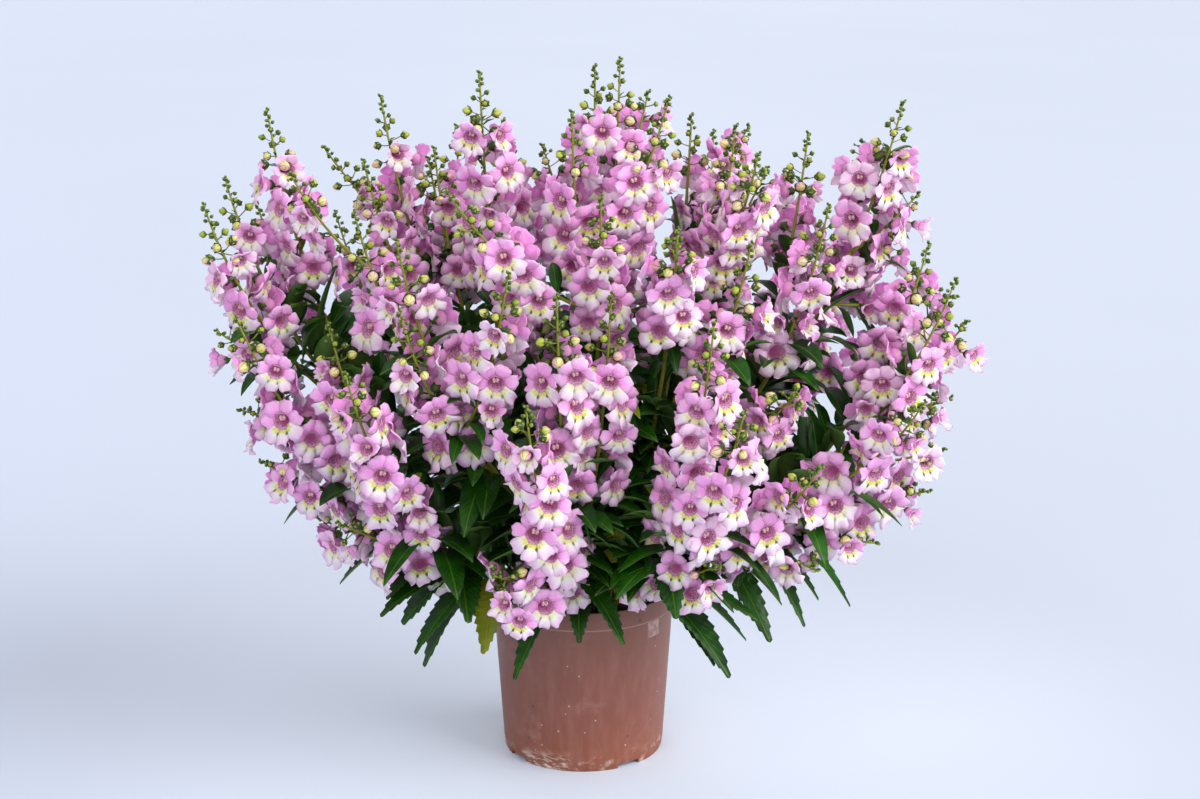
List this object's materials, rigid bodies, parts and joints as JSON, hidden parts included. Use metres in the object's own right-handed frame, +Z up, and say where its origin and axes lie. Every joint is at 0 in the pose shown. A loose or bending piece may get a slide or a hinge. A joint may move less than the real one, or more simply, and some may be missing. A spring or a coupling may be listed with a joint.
{
  "type": "potted angelonia",
  "caption": "A bushy flowering plant with upright racemes of pink and white lipped flowers and toothed leaves, growing in a round terracotta-coloured plastic nursery pot.",
  "frame": {"origin": "on the floor under the pot's axis", "axes": "+X to the right of the front view and along the plant's greatest width, -Y towards the front, +Z up"},
  "size_m": [0.4851, 0.3946, 0.4676],
  "materials": {
    "pot": "thin moulded terracotta-brown plastic, matt with a soft sheen, fine upright streaks, dust and lime scuffs near the foot",
    "potting_mix": "dark crumbly potting mix of peat and bark, with pale specks",
    "foliage": "glossy dark green toothed leaves with a paler rib and underside, yellow-green stems",
    "flowers": "thin satin petals, orchid pink above and white with pink edges below, with a mottled purple throat"
  },
  "bodies": {
    "root": {"pot": "pot", "potting_mix": "potting_mix", "left_front_flowers_1": "flowers", "left_front_flowers_2": "flowers", "inner_left_front_flowers_1": "flowers", "inner_left_front_flowers_2": "flowers", "inner_left_front_flowers_3": "flowers", "left_flowers_1": "flowers", "left_flowers_2": "flowers", "left_flowers_3": "flowers", "left_flowers_4": "flowers", "centre_left_flowers_1": "flowers", "centre_left_flowers_2": "flowers", "centre_left_flowers_3": "flowers", "centre_left_flowers_4": "flowers", "front_flowers_1": "flowers", "front_flowers_2": "flowers", "front_flowers_3": "flowers", "centre_flowers_1": "flowers", "centre_flowers_2": "flowers", "centre_flowers_3": "flowers", "centre_flowers_4": "flowers", "right_front_flowers_1": "flowers", "right_front_flowers_2": "flowers", "right_front_flowers_3": "flowers", "centre_right_flowers_1": "flowers", "centre_right_flowers_2": "flowers", "centre_right_flowers_3": "flowers", "centre_right_flowers_4": "flowers", "inner_right_flowers_1": "flowers", "inner_right_flowers_2": "flowers", "inner_right_flowers_3": "flowers", "right_flowers_1": "flowers", "right_flowers_2": "flowers", "right_flowers_3": "flowers", "back_flowers_1": "flowers", "back_flowers_2": "flowers", "back_flowers_3": "flowers", "back_flowers_4": "flowers", "right_back_flowers_1": "flowers", "right_back_flowers_2": "flowers", "right_back_flowers_3": "flowers", "right_back_flowers_4": "flowers", "left_back_flowers_1": "flowers", "left_back_flowers_2": "flowers", "left_back_flowers_3": "flowers", "left_front_stems": "foliage", "inner_left_front_stems": "foliage", "left_stems": "foliage", "centre_left_stems": "foliage", "front_stems": "foliage", "centre_stems": "foliage", "right_front_stems": "foliage", "centre_right_stems": "foliage", "inner_right_stems": "foliage", "right_stems": "foliage", "back_stems": "foliage", "right_back_stems": "foliage", "left_back_stems": "foliage"}
  },
  "joints": []
}
